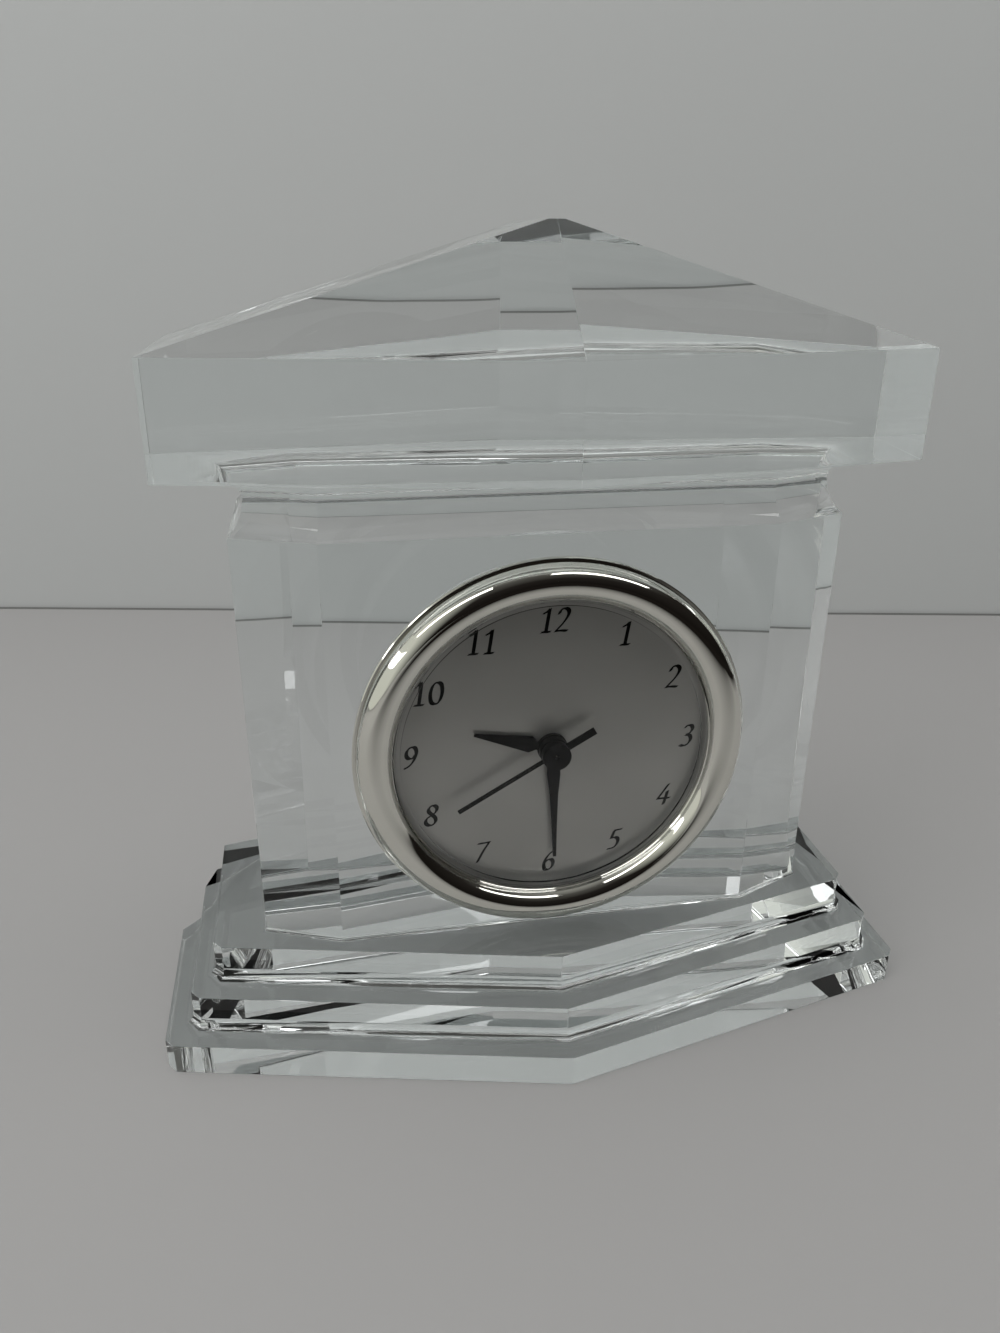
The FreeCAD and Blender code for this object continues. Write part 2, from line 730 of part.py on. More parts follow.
def contact_strip(start, near):
    """A flat strip that runs from the cell sideways and then up to the board."""
    low = cell_z - contact_width / 2
    far = near + contact_thickness
    shape = block(-contact_reach, start, near, far, low, low + contact_width)
    return shape.fuse(block(-contact_reach, contact_width - contact_reach, near, far, low,
                            board_z - board_height / 2))


def contact_minus():
    """The strip under the cell, bent back to the rear plate."""
    near = rear_plate_depth - contact_thickness
    corner = -cell_radius - cell_gap - contact_thickness
    low = cell_z - contact_width / 2
    bend = cell_depth - contact_thickness
    rise = block(corner, corner + contact_thickness, bend, rear_plate_depth, low, low + contact_width)
    foot = block(corner, cell_radius / 2, bend, cell_depth, low, low + contact_width)
    return contact_strip(corner + contact_thickness, near).fuse(rise).fuse(foot).removeSplitter()


def contact_plus():
    """The strip on the rear plate that touches the side of the cell."""
    shape = contact_strip(0.0, rear_plate_back)
    hole = disc(cell_radius, rear_plate_back - overrun, rear_plate_back + overrun, cell_place)
    return shape.cut(hole).removeSplitter()


def battery_hatch():
    """The round cover of the cell, with two lugs behind the cup's wall and a slot for a coin."""
    cover = disc(hatch_radius, floor_depth, cup_depth, cell_place)
    half = hatch_lug_width / 2
    reach = hatch_radius + hatch_lug_reach
    near = floor_depth - hatch_lug_thickness
    bar = block(-reach, reach, near, floor_depth, cell_z - half, cell_z + half)
    slot = block(-hatch_radius, hatch_radius, cup_depth - coin_slot_depth, cup_depth + overrun,
                 cell_z - coin_slot_width / 2, cell_z + coin_slot_width / 2)
    cover = cover.fuse(bar.common(disc(reach, near, floor_depth, cell_place)))
    return cover.cut(slot.common(disc(hatch_radius - knob_grip_depth, near, cup_depth + overrun, cell_place)))


# Where the first tooth of each leading wheel points; its partner's follows from the mesh
cannon_phase = 0.0
minute_phase = meshed_phase(cannon_teeth, cannon_phase, minute_teeth, motion_angle)
minute_pinion_phase = 0.0
centre_phase = 0.0
third_phase = 0.0
seconds_phase = 0.0
intermediate_phase = 0.0

os.makedirs("parts", exist_ok=True)
save("crystal_body", crystal_body())
save("bezel", bezel())
save("lens", lens())
save("dial_ring", dial_ring())
save("dial", dial())
save("case_cup", case_cup())
save("gasket", gasket())
save("front_plate", front_plate())
save("rear_plate", rear_plate())
save("plate_screws", plate_screws())
save("hour_wheel", hour_wheel())
save("hour_hand", hand(spear(hour_hand_length, hour_hand_width, hour_outline_shares), hour_hand_depth,
                       hour_hub_radius, hour_hub_front, hour_hub_back, hour_tube_radius, hour_angle))
save("minute_wheel", minute_wheel())
save("cannon_pinion", cannon_pinion())
save("minute_hand", hand(spear(minute_hand_length, minute_hand_width, minute_outline_shares),
                         minute_hand_depth, minute_hub_radius, minute_hub_front, minute_hub_back,
                         cannon_radius, minute_angle))
save("centre_wheel", centre_wheel())
save("third_wheel", third_wheel())
save("seconds_wheel", seconds_wheel())
save("second_hand", hand(second_outline(), second_hand_depth, second_hub_radius, second_hub_front,
                         second_hub_back, seconds_arbor_radius, second_angle))
save("intermediate_wheel", intermediate_wheel())
save("rotor_pinion", rotor_pinion())
save("rotor_magnet", rotor_magnet())
save("setting_shaft", setting_shaft())
save("setting_knob", setting_knob())
save("stator", stator())
save("coil_core", coil_core())
save("coil_bobbin", coil_bobbin())
save("coil_winding", coil_winding())
save("circuit_board", circuit_board())
save("timing_chip", timing_chip())
save("quartz_can", quartz_can())
save("cell", cell())
save("contact_plus", contact_plus())
save("contact_minus", contact_minus())
save("battery_hatch", battery_hatch())
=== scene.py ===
"""Dressed scene of a polished glass mantel clock with a round quartz insert in its front.

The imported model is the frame. The glass block gets its ground edges, the insert its turned metal, its lens,
its printed numerals and its finishes, and the works behind it their plastics and metals.
"""
import logging
import math
from dataclasses import dataclass, field
from enum import Enum
from functools import reduce
from typing import Dict, List, Optional, Sequence, Tuple, Union

import bmesh
import bpy
from bmesh.types import BMEdge, BMesh, BMLayerItem, BMVert
from bpy.types import ID, Material, Node, NodeSocket, NodeTree, Object
from mathutils import Euler, Matrix, Vector


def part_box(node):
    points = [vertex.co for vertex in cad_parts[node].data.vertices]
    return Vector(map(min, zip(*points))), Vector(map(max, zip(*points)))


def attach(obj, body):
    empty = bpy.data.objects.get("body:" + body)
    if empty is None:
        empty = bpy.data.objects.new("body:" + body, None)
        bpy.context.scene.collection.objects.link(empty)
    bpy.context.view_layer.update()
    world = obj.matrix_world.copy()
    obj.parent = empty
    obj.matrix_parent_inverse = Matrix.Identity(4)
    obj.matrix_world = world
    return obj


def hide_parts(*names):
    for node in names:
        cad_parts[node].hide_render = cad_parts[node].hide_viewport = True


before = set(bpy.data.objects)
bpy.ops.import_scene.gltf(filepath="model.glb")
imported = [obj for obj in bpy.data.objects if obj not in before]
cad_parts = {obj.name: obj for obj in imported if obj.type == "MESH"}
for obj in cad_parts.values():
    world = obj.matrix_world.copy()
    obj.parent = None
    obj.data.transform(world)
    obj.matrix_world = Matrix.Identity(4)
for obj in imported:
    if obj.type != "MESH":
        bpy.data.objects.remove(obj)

MM = 0.001
# Points nearer than this are the same point, in metres
TOUCHING = 1e-6
# How often light may turn inside the glass before it is dropped
GLASS_BOUNCES = 32
# Octaves of the noise that colours drift by, and the span that nearly all of its values are in
MOTTLE_DETAIL = 4.0
NOISE_SPAN = (0.35, 0.65)
LOG = logging.getLogger("mantel_clock")
Point = Tuple[float, float]
Triple = Tuple[float, float, float]
Colour = Tuple[float, float, float, float]
Stop = Tuple[float, str]
Value = Union[NodeSocket, Colour, float]
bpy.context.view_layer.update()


class Body(str, Enum):
    """The moving groups that pieces ride on."""

    CRYSTAL = "crystal"
    INSERT = "insert"


def linear(code: str) -> Colour:
    """Turns an sRGB hex value to linear light.

    Args:
        code: Six hex digits, with or without a leading hash.

    Returns:
        Red, green, blue and one.
    """
    channels = [int(code.lstrip("#")[n:n + 2], 16) / 255 for n in (0, 2, 4)]
    red, green, blue = [c / 12.92 if c <= 0.04045 else ((c + 0.055) / 1.055) ** 2.4 for c in channels]
    return red, green, blue, 1.0


@dataclass(frozen=True)
class Wiring:
    """The nodes of a material or of the world.

    Args:
        tree: Their node tree.
    """

    tree: NodeTree

    def add(self, kind: str, inputs: Optional[Dict[Union[str, int], object]] = None) -> Node:
        """Adds a node.

        Args:
            kind: The node's Blender type name.
            inputs: Values, or the outputs of other nodes, by the input's name or number. A name that no
                input has is an attribute of the node.

        Returns:
            The new node.
        """
        node = self.tree.nodes.new(kind)
        for name, value in (inputs or {}).items():
            if isinstance(name, str) and name not in node.inputs:
                setattr(node, name, value)
            elif isinstance(value, NodeSocket):
                self.link(value, node, name)
            else:
                node.inputs[name].default_value = value
        return node

    def link(self, output: NodeSocket, node: Node, name: Union[str, int]) -> None:
        """Feeds a node's input, told by its name or number, with the output of another one."""
        self.tree.links.new(output, node.inputs[name])

    def calculate(self, operation: str, first: Value, second: Value) -> NodeSocket:
        """Combines two numbers by an operation of Blender's."""
        return self.add("ShaderNodeMath", {"operation": operation, 0: first, 1: second}).outputs["Value"]

    def mix_colours(self, share: NodeSocket, first: Value, second: Value) -> NodeSocket:
        """Mixes two colours: the first where the share is zero and the second where it is one."""
        node = self.add("ShaderNodeMix", {"data_type": "RGBA", "Factor": share, 6: first, 7: second})
        return node.outputs[2]

    def mix_shaders(self, share: NodeSocket, first: NodeSocket, second: NodeSocket) -> NodeSocket:
        """Mixes two shaders: the first where the share is zero and the second where it is one."""
        return self.add("ShaderNodeMixShader", {"Fac": share, 1: first, 2: second}).outputs["Shader"]

    def fade(self, value: NodeSocket, start: float, end: float) -> NodeSocket:
        """Zero up to a start, and one from an end onwards."""
        node = self.add("ShaderNodeMapRange", {"Value": value, "From Min": start, "From Max": end})
        return node.outputs["Result"]

    def mirrored_ray(self) -> NodeSocket:
        """One for what is seen by way of a reflection, zero for what is seen directly or through glass."""
        return self.calculate("GREATER_THAN", self.add("ShaderNodeLightPath").outputs["Glossy Depth"], 0.5)

    def ramp(self, value: NodeSocket, stops: Sequence[Stop]) -> NodeSocket:
        """Colours a value.

        Args:
            value: What is coloured.
            stops: Places and their sRGB hex values.

        Returns:
            The colour.
        """
        node = self.add("ShaderNodeValToRGB", {"Fac": value})
        elements = node.color_ramp.elements
        while len(elements) < len(stops):
            elements.new(1.0)
        for element, (place, code) in zip(elements, stops):
            element.position = place
            element.color = linear(code)
        return node.outputs["Color"]


@dataclass(frozen=True)
class Grain:
    """A surface relief from noise in object space.

    Args:
        size: Width of one grain, in millimetres.
        height: Depth of the relief, in millimetres.
        stretch: How much longer the grain is along each axis.
        detail: Finer octaves of the noise.
    """

    size: float
    height: float
    stretch: Triple = (1.0, 1.0, 1.0)
    detail: float = 3.0


@dataclass(frozen=True)
class Finish:
    """One real surface: what it is made of and how it was worked.

    Args:
        name: The material's name.
        colour: sRGB hex of the surface.
        metallic: One for bare metal.
        roughness: Middle of the roughness.
        ior: Index of refraction of what isn't metal.
        transmission: One for clear material.
        grain: The relief that moulding, drawing or polishing left.
        mottle: Second colour, which the first one drifts towards.
        patch: Width of such a patch, in millimetres.
        drift: How far the roughness varies from its middle.
    """

    name: str
    colour: str
    metallic: float = 0.0
    roughness: float = 0.5
    ior: float = 1.5
    transmission: float = 0.0
    grain: Optional[Grain] = None
    mottle: Optional[str] = None
    patch: float = 5.0
    drift: float = 0.0

    def material(self) -> Material:
        """Makes the material.

        Returns:
            It, or the one already made under its name.
        """
        made = bpy.data.materials.get(self.name)
        if made:
            return made
        material = bpy.data.materials.new(self.name)
        material.use_nodes = True
        wiring = Wiring(material.node_tree)
        wiring.tree.nodes.clear()
        place = wiring.add("ShaderNodeTexCoord").outputs["Object"]
        shader = wiring.add("ShaderNodeBsdfPrincipled", {
            "Base Color": linear(self.colour), "Metallic": self.metallic, "Roughness": self.roughness,
            "Transmission Weight": self.transmission})
        if not self.metallic:
            shader.inputs["IOR"].default_value = self.ior
        if self.mottle or self.drift:
            self._vary(wiring, place, shader)
        if self.grain:
            self._relief(wiring, place, shader)
        surface = shader.outputs["BSDF"]
        if self.transmission:
            surface = self._let_light_through(wiring, surface)
        wiring.add("ShaderNodeOutputMaterial", {"Surface": surface})
        return material

    def _let_light_through(self, wiring: Wiring, surface: NodeSocket) -> NodeSocket:
        """Lets the lamps shine through a clear material onto what lies behind it.

        Args:
            wiring: The material's nodes.
            surface: The clear material's shader.

        Returns:
            The shader that shadow rays pass.
        """
        path = wiring.add("ShaderNodeLightPath")
        clear = wiring.add("ShaderNodeBsdfTransparent", {"Color": linear("#F0F2F2")})
        return wiring.mix_shaders(path.outputs["Is Shadow Ray"], surface, clear.outputs["BSDF"])

    def _vary(self, wiring: Wiring, place: NodeSocket, shader: Node) -> None:
        """Lets colour and roughness drift over the surface.

        Args:
            wiring: The material's nodes.
            place: Object coordinates.
            shader: The shader that takes them.
        """
        noise = wiring.add("ShaderNodeTexNoise", {
            "Vector": place, "Scale": 1 / (self.patch * MM), "Detail": MOTTLE_DETAIL})
        patches = noise.outputs["Fac"]
        if self.mottle:
            mixed = wiring.mix_colours(patches, linear(self.colour), linear(self.mottle))
            wiring.link(mixed, shader, "Base Color")
        if self.drift:
            low, high = self.roughness - self.drift, self.roughness + self.drift
            spread = wiring.add("ShaderNodeMapRange", {
                "Value": patches, "From Min": NOISE_SPAN[0], "From Max": NOISE_SPAN[1],
                "To Min": max(low, 0.0), "To Max": high})
            wiring.link(spread.outputs["Result"], shader, "Roughness")

    def _relief(self, wiring: Wiring, place: NodeSocket, shader: Node) -> None:
        """Adds the grain as a bump.

        Args:
            wiring: The material's nodes.
            place: Object coordinates.
            shader: The shader that takes it.
        """
        stretched = wiring.add("ShaderNodeMapping", {
            "Vector": place, "Scale": [1 / s for s in self.grain.stretch]})
        noise = wiring.add("ShaderNodeTexNoise", {
            "Vector": stretched.outputs["Vector"], "Scale": 1 / (self.grain.size * MM),
            "Detail": self.grain.detail})
        bump = wiring.add("ShaderNodeBump", {
            "Height": noise.outputs["Fac"], "Distance": self.grain.height * MM})
        wiring.link(bump.outputs["Normal"], shader, "Normal")


# Polished lead crystal: clear, with the faint swell that the wheel left
CRYSTAL = Finish("polished_lead_crystal", "#FBFFFF", roughness=0.0, ior=1.54, transmission=1.0,
                 grain=Grain(28.0, 0.05, detail=1.0))
# The pocket's wall as the drill left it: finely ground
GROUND_GLASS = Finish("drilled_ground_glass", "#F2F4F4", roughness=0.32, ior=1.54, transmission=1.0,
                      grain=Grain(0.4, 0.02))
# Moulded acrylic, clear and faintly uneven, coated against reflections
ACRYLIC = Finish("moulded_clear_acrylic", "#FCFDFD", roughness=0.0, ior=1.3, transmission=1.0,
                 grain=Grain(14.0, 0.01, detail=1.0))
# Bright nickel-chrome plating over brass: a mirror with faint polishing haze
PLATING = Finish("bright_chrome_plating", "#E2E1DA", metallic=1.0, roughness=0.05, mottle="#D9D8CF",
                 patch=9.0, drift=0.02, grain=Grain(6.0, 0.004))
# Thin polished aluminium pressing
RING_METAL = Finish("polished_aluminium_ring", "#DADADA", metallic=1.0, roughness=0.12, mottle="#CDCDCD",
                    patch=4.0, grain=Grain(0.5, 0.003))
# Silvered dial under clear lacquer: satin, with a very fine vertical draw
DIAL_SILVER = Finish("satin_silvered_dial", "#B8B6B2", metallic=0.85, roughness=0.42, mottle="#B1AFAA",
                     patch=18.0, drift=0.05, grain=Grain(0.25, 0.006, (1.0, 1.0, 6.0)))
# Printed enamel ink, slightly raised and dull
INK = Finish("printed_black_ink", "#040404", roughness=0.45, ior=1.15, mottle="#0A0909", patch=0.8,
             grain=Grain(0.2, 0.005))
# Stamped brass hands under black paint
HAND_PAINT = Finish("black_hand_paint", "#020202", roughness=0.35, ior=1.15, mottle="#050505", patch=1.5,
                    grain=Grain(0.5, 0.004))
# Moulded black ABS with a fine spark-eroded texture
BLACK_ABS = Finish("moulded_black_abs", "#1B1B1C", roughness=0.48, mottle="#222223", patch=2.0, drift=0.06,
                   grain=Grain(0.35, 0.02))
# The same plastic in the grey of what the hand turns
GREY_ABS = Finish("moulded_grey_abs", "#7C7E80", roughness=0.45, mottle="#73757A", patch=2.0, drift=0.06,
                  grain=Grain(0.35, 0.02))
# Soft vinyl band, matt
VINYL = Finish("soft_vinyl_band", "#262626", roughness=0.7, mottle="#313131", patch=1.6,
               grain=Grain(0.3, 0.02))
# Natural acetal of the plates and wheels: cream and waxy
ACETAL = Finish("moulded_cream_acetal", "#D9D4C4", roughness=0.38, mottle="#CFC9B6", patch=3.0,
                grain=Grain(0.5, 0.008))
# Turned brass with fine tool marks
BRASS = Finish("turned_brass", "#C6A15B", metallic=1.0, roughness=0.22, mottle="#B08C49", patch=1.2,
               drift=0.06, grain=Grain(0.15, 0.006, (1.0, 8.0, 1.0)))
# Nickel-plated steel screws, shafts and spring strips
STEEL = Finish("nickel_plated_steel", "#B9B9B7", metallic=1.0, roughness=0.24, mottle="#A3A3A2", patch=1.5,
               drift=0.05, grain=Grain(0.2, 0.004))
# Annealed iron of the motor: grey and dull
IRON = Finish("annealed_motor_iron", "#77787A", metallic=1.0, roughness=0.42, mottle="#66676A", patch=1.2,
              grain=Grain(0.25, 0.01))
# Enamelled copper wire: one grain is one turn, coarser than real wire
COPPER = Finish("enamelled_copper_wire", "#B4602F", metallic=1.0, roughness=0.28, mottle="#C77A45",
                patch=1.0, grain=Grain(0.22, 0.05, (12.0, 12.0, 1.0)))
# Green solder resist over glass-fibre laminate
LAMINATE = Finish("green_solder_resist", "#1F6B3A", roughness=0.3, mottle="#2A7A45", patch=0.8,
                  grain=Grain(0.3, 0.01))
# Black epoxy drop over the chip
POTTING = Finish("black_epoxy_potting", "#0C0C0D", roughness=0.25, mottle="#151515", patch=0.7,
                 grain=Grain(0.8, 0.03))

NODE_FINISHES: Dict[str, Finish] = {
    "dial_ring": RING_METAL, "dial": DIAL_SILVER, "case_cup": BLACK_ABS, "gasket": VINYL,
    "front_plate": ACETAL, "rear_plate": ACETAL, "plate_screws": STEEL, "hour_wheel": BRASS,
    "hour_hand": HAND_PAINT, "minute_wheel": ACETAL, "cannon_pinion": BRASS, "minute_hand": HAND_PAINT,
    "centre_wheel": ACETAL, "third_wheel": ACETAL, "seconds_wheel": ACETAL, "second_hand": HAND_PAINT,
    "intermediate_wheel": ACETAL, "rotor_pinion": STEEL, "rotor_magnet": IRON, "setting_shaft": STEEL,
    "setting_knob": GREY_ABS, "stator": IRON, "coil_core": IRON, "coil_bobbin": ACETAL,
    "coil_winding": COPPER, "circuit_board": LAMINATE, "timing_chip": POTTING, "quartz_can": STEEL,
    "cell": STEEL, "contact_plus": STEEL, "contact_minus": STEEL, "battery_hatch": GREY_ABS,
}


def dress(obj: Object, finish: Finish) -> None:
    """Gives every slot of an object one finish."""
    obj.data.materials.clear()
    obj.data.materials.append(finish.material())


def add_object(name: str, data: ID) -> Object:
    """Puts a new object with a mesh, a lamp or a camera into the scene.

    Args:
        name: Its name.
        data: What it shows.

    Returns:
        The object.
    """
    obj = bpy.data.objects.new(name, data)
    bpy.context.scene.collection.objects.link(obj)
    return obj


def add_mesh(name: str, shape: BMesh) -> Object:
    """Puts a bmesh into the scene and frees it.

    Args:
        name: The object's name.
        shape: Its mesh, in metres in the frame of the model.

    Returns:
        The new object.
    """
    mesh = bpy.data.meshes.new(name)
    shape.to_mesh(mesh)
    shape.free()
    return add_object(name, mesh)


def finished_piece(name: str, shape: BMesh, finish: Finish, body: Body,
                   smooth_below: float = 30.0) -> Object:
    """Turns a bmesh into a piece that rides on a body.

    Args:
        name: The object's name.
        shape: Its mesh. It is freed here.
        finish: Its finish.
        body: The moving group it belongs to.
        smooth_below: Edges that bend less than this many degrees are shaded smooth.

    Returns:
        The new object.
    """
    obj = add_mesh(name, shape)
    for face in obj.data.polygons:
        face.use_smooth = True
    obj.data.set_sharp_from_angle(angle=math.radians(smooth_below))
    dress(obj, finish)
    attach(obj, body.value)
    LOG.info("%s: %d faces", name, len(obj.data.polygons))
    return obj


@dataclass
class DialAxis:
    """Where the dial's middle is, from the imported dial.

    Args:
        middle: Centre of the dial, on its front face.
    """

    middle: Vector

    @classmethod
    def from_frame(cls) -> "DialAxis":
        """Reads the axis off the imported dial.

        Returns:
            The axis.
        """
        low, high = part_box("dial")
        middle = (low + high) / 2
        return cls(Vector((middle.x, low.y, middle.z)))

    def spin(self, profile: Sequence[Point], steps: int = 192, closed: bool = True) -> BMesh:
        """Turns a profile about the dial's axis.

        Args:
            profile: Radius and distance in front of the dial, both in metres.
            steps: Segments of the full turn.
            closed: Whether the last point joins the first.

        Returns:
            The turned mesh, with its faces outwards.
        """
        shape = bmesh.new()
        points = [shape.verts.new(self.middle + Vector((radius, -height, 0.0))) for radius, height in profile]
        pairs = list(zip(points, points[1:])) + ([(points[-1], points[0])] if closed else [])
        edges = [shape.edges.new(pair) for pair in pairs]
        bmesh.ops.spin(shape, geom=points + edges, cent=self.middle, axis=(0.0, 1.0, 0.0), angle=math.tau,
                       steps=steps, use_merge=True)
        bmesh.ops.remove_doubles(shape, verts=shape.verts, dist=TOUCHING)
        bmesh.ops.recalc_face_normals(shape, faces=shape.faces)
        return shape


def bow(start: Point, end: Point, rise: float, steps: int) -> List[Point]:
    """Points of a circular arc between two points.

    Args:
        start: First point, which is returned too.
        end: Last point, which isn't.
        rise: Height of the arc over its chord, to the left of the way from start to end. It is at most
            half the chord, and negative to the right.
        steps: How many points to return.

    Returns:
        The points.
    """
    a, b = Vector(start), Vector(end)
    chord = b - a
    half = chord.length / 2
    radius = (half * half + rise * rise) / (2 * rise)
    left = Vector((-chord.y, chord.x)).normalized()
    centre = (a + b) / 2 + left * (rise - radius)
    opening = 2 * math.asin(half / radius)
    arm = a - centre
    points = []
    for n in range(steps):
        turned = Matrix.Rotation(-opening * n / steps, 2) @ arm
        points.append((centre.x + turned.x, centre.y + turned.y))
    return points


def offset_ring(plan: Sequence[Vector], inset: float) -> List[Vector]:
    """Moves every side of a convex plan inwards and returns its new corners.

    Args:
        plan: Corners, anticlockwise as seen from above.
        inset: How far inwards; a negative value goes outwards.

    Returns:
        The corners of the moved plan, in the same order.
    """
    corners = []
    for before, here, after in zip([plan[-1], *plan], plan, [*plan[1:], plan[0]]):
        first, second = (here - before).normalized(), (after - here).normalized()
        inward = (Vector((-first.y, first.x)), Vector((-second.y, second.x)))
        mitre = (inward[0] + inward[1]).normalized()
        corners.append(here + mitre * (inset / mitre.dot(inward[0])))
    return corners


@dataclass
class CrystalBlock:
    """The polished glass block.

    Args:
        plane_bend: Packed faces that bend less than this many degrees are one plane.
        arris: Width of the round that the polisher leaves along each outer edge.
        arris_segments: Facets of that round.
        arris_bend: Outer edges that bend less than this many degrees stay sharp.
        step_cove: Radius of the hollow where a tread meets the riser behind it.
        step_segments: Facets of that hollow.
        foot_cove: Radius of the hollow around the foot of the column.
        foot_segments: Facets of that hollow.
        cove_bend: Inner edges that bend more than this many degrees are hollowed.
        foot_level: Height that parts the treads' inner edges from the column's foot.
        base_level: Height that holds the base and the column's foot.
        neck_bottom: Height where the hollow neck starts.
        neck_waist: Height of its deepest place.
        neck_top: Height of the underside that it runs out into.
        neck_bite: Depth of that deepest place.
        neck_flare: How far the neck sweeps out again above it.
        neck_rings: Facets of the neck from bottom to top.
        neck_depth: Half the depth that holds the neck's corners.
        wall_tilt: Faces whose normal has less than this share along the axis belong to the pocket's wall.
        pocket_reach: Radius that holds the drilled pocket.
        pocket_air: More than the air around the cup.
        pocket_end: More than the air behind the cup.
    """

    plane_bend: float = 0.4
    arris: float = 0.5 * MM
    arris_segments: int = 3
    arris_bend: float = 9.0
    step_cove: float = 2.4 * MM
    step_segments: int = 8
    foot_cove: float = 0.8 * MM
    foot_segments: int = 6
    cove_bend: float = 45.0
    foot_level: float = 16 * MM
    base_level: float = 30 * MM
    neck_bottom: float = 97.6 * MM
    neck_waist: float = 103.9 * MM
    neck_top: float = 108.0 * MM
    neck_bite: float = 2.8 * MM
    neck_flare: float = 6.8 * MM
    neck_rings: int = 32
    neck_depth: float = 21 * MM
    wall_tilt: float = 0.3
    pocket_reach: float = 33.5 * MM
    pocket_air: float = 1.5 * MM
    pocket_end: float = 6 * MM

    def build(self) -> None:
        """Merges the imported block, rounds its edges and hollows, and dresses it."""
        shape = bmesh.new()
        shape.from_mesh(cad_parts["crystal_body"].data)
        bmesh.ops.remove_doubles(shape, verts=shape.verts, dist=TOUCHING)
        bmesh.ops.dissolve_limit(shape, angle_limit=math.radians(self.plane_bend), verts=shape.verts,
                                 edges=shape.edges)
        curved = shape.faces.layers.int.new("curved")
        axis = DialAxis.from_frame()
        for face in shape.faces:
            reach = (face.calc_center_median() - axis.middle).xz.length
            face[curved] = int(reach < self.pocket_reach and abs(face.normal.y) < self.wall_tilt)
        self._sweep_neck(shape, curved)
        inner = [edge for edge in shape.edges if self._is_inner_step(edge)]
        steps = [edge for edge in inner if edge.verts[0].co.z < self.foot_level]
        foot = [edge for edge in inner if edge.verts[0].co.z > self.foot_level]
        self._round(shape, curved, steps, self.step_cove, self.step_segments)
        self._round(shape, curved, [edge for edge in foot if edge.is_valid], self.foot_cove,
                    self.foot_segments)
        outer = [edge for edge in shape.edges if self._is_outer(edge, curved)]
        self._round(shape, curved, outer, self.arris, self.arris_segments)
        bmesh.ops.recalc_face_normals(shape, faces=shape.faces)
        marks = [bool(face[curved]) for face in shape.faces]
        block = finished_piece("crystal_block", shape, CRYSTAL, Body.CRYSTAL, smooth_below=20.0)
        for face, smooth in zip(block.data.polygons, marks):
            face.use_smooth = smooth
        self._grind_pocket(block)
        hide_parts("crystal_body")

    def _is_inner_step(self, edge: BMEdge) -> bool:
        """Tells the edges where a tread meets a riser."""
        level = abs(edge.verts[0].co.z - edge.verts[1].co.z) < TOUCHING
        return (level and edge.verts[0].co.z < self.base_level and len(edge.link_faces) == 2
                and edge.calc_face_angle_signed(0.0) < -math.radians(self.cove_bend))

    def _is_outer(self, edge: BMEdge, curved: BMLayerItem) -> bool:
        """Tells the outer arrises between two ground faces.

        Args:
            edge: The edge.
            curved: The layer that marks curved faces.

        Returns:
            Whether the edge is one.
        """
        if len(edge.link_faces) != 2 or edge.calc_face_angle_signed(0.0) < math.radians(self.arris_bend):
            return False
        on_neck = any(self.neck_bottom + TOUCHING < vert.co.z < self.neck_top - TOUCHING
                      for vert in edge.verts)
        beside_cove = any(face[curved] for face in edge.link_faces
                          if face.calc_center_median().z < self.base_level)
        return not on_neck and not beside_cove

    def _round(self, shape: BMesh, curved: BMLayerItem, edges: Sequence[BMEdge], radius: float,
               segments: int) -> None:
        """Rounds edges and marks the new faces as curved.

        Args:
            shape: The block.
            curved: The layer that marks curved faces.
            edges: What is rounded.
            radius: Width of the round.
            segments: Its facets.
        """
        made = bmesh.ops.bevel(shape, geom=list(edges), offset=radius, offset_type="OFFSET",
                               segments=segments, profile=0.5, affect="EDGES", clamp_overlap=True,
                               material=-1)
        for face in made["faces"]:
            face[curved] = 1

    def _inset(self, height: float) -> float:
        """Says how deep the neck is.

        Args:
            height: Height above the table.

        Returns:
            Its depth, negative where it stands proud.
        """
        if height <= self.neck_waist:
            rise = self.neck_waist - self.neck_bottom
            radius = (rise ** 2 + self.neck_bite ** 2) / (2 * self.neck_bite)
            return self.neck_bite - radius + math.sqrt(radius ** 2 - (self.neck_waist - height) ** 2)
        share = min((height - self.neck_waist) / (self.neck_top - self.neck_waist), 1.0)
        return self.neck_bite - self.neck_flare * (1 - math.sqrt(1 - share ** 2))

    def _sweep_neck(self, shape: BMesh, curved: BMLayerItem) -> None:
        """Builds the hollow neck anew, finely and running out smoothly into the underside of the fascia.

        Args:
            shape: The block.
            curved: The layer that marks curved faces.
        """
        near = 10 * TOUCHING
        between = [vert for vert in shape.verts
                   if self.neck_bottom + near < vert.co.z < self.neck_top - near
                   and abs(vert.co.y) < self.neck_depth]
        bmesh.ops.delete(shape, geom=between, context="VERTS")
        rims = {}
        for height in (self.neck_bottom, self.neck_top):
            open_edges = [edge for edge in shape.edges if edge.is_boundary
                          and all(abs(vert.co.z - height) < near for vert in edge.verts)]
            verts = {vert for edge in open_edges for vert in edge.verts}
            rims[height] = sorted(verts, key=lambda vert: math.atan2(vert.co.y, vert.co.x))
        low, high = rims[self.neck_bottom], rims[self.neck_top]
        plan = [vert.co.xy.copy() for vert in low]
        for vert, place in zip(high, offset_ring(plan, self._inset(self.neck_top))):
            vert.co.xy = place
        previous = low
        for n in range(1, self.neck_rings + 1):
            ring = high
            if n < self.neck_rings:
                end = self.neck_bottom if n < self.neck_rings / 2 else self.neck_top
                span = abs(self.neck_waist - end)
                height = self.neck_waist - math.cos(math.pi * n / self.neck_rings) * span
                ring = [shape.verts.new((*place, height))
                        for place in offset_ring(plan, self._inset(height))]
            for k in range(len(ring)):
                after = (k + 1) % len(ring)
                face = shape.faces.new((previous[k], previous[after], ring[after], ring[k]))
                face[curved] = 1
            for below, above in zip(previous, ring):
